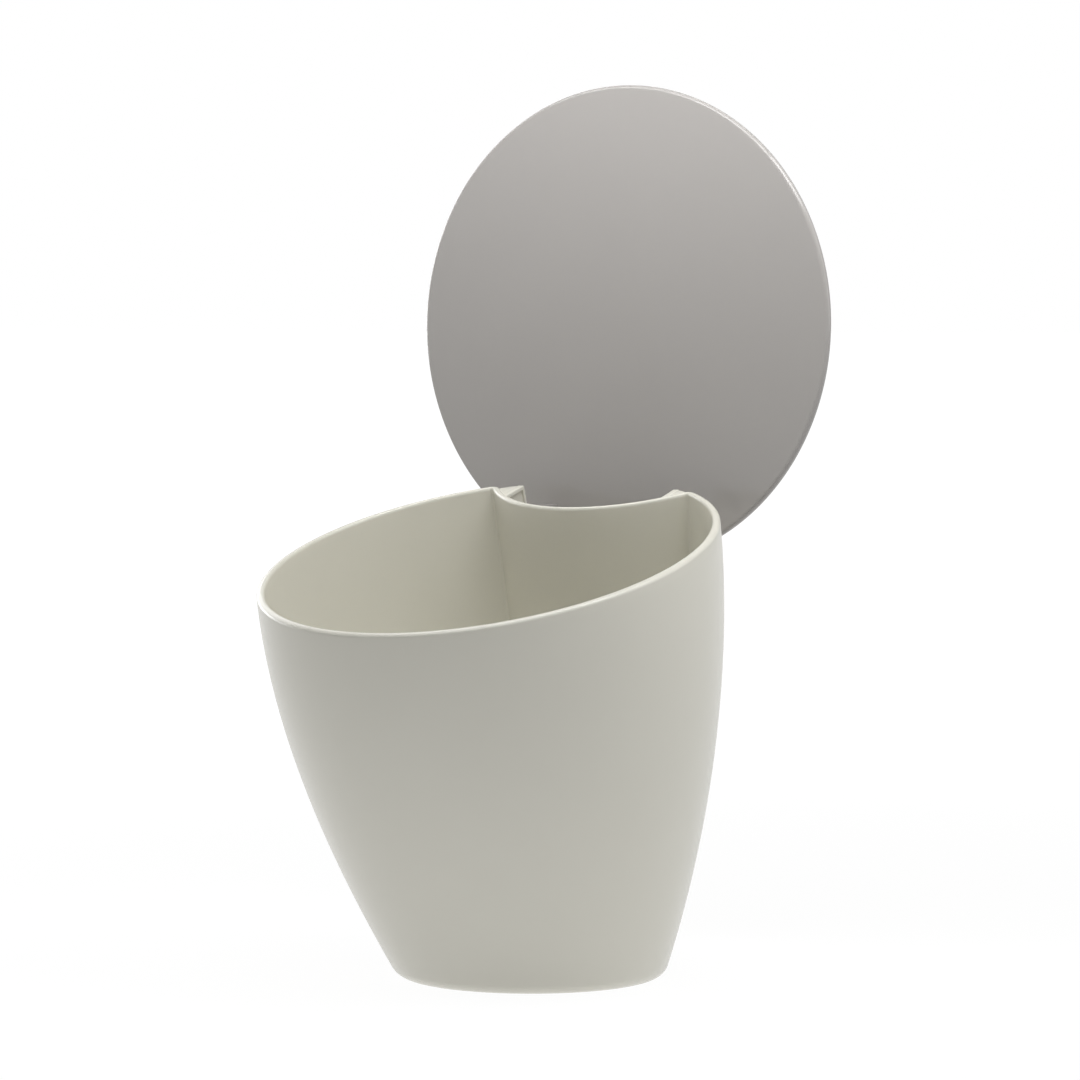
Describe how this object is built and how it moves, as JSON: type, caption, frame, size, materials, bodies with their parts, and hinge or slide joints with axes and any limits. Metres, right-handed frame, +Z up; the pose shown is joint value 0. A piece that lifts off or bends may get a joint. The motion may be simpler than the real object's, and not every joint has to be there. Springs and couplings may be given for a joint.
{
  "type": "countertop waste bin",
  "caption": "Round countertop bin leaning forward, with a sloping rim, a scooped back and a flat disc lid that swings open on a hinge behind the scoop.",
  "frame": {"origin": "centre of the flat underside, on the surface that the bin stands on", "axes": "+Z up, -Y towards the low front of the rim, +X to the right of someone who faces the low front"},
  "size_m": [0.1696, 0.1643, 0.3099],
  "materials": {
    "bin_plastic": "glossy moulded plastic, warm off-white",
    "lid_plastic": "polished moulded plastic, light grey",
    "pin_steel": "drawn wire, plain"
  },
  "bodies": {
    "bin": {"bin_body": "bin_plastic", "hinge_pin_left": "pin_steel", "hinge_pin_right": "pin_steel"},
    "lid": {"lid": "lid_plastic"}
  },
  "joints": [
    {"name": "lid_hinge", "type": "hinge", "parent": "bin", "child": "lid", "pos_m": [0, 0.04331, 0.15606], "axis": [1, 0, 0], "range_deg": [0, 107.8]}
  ]
}
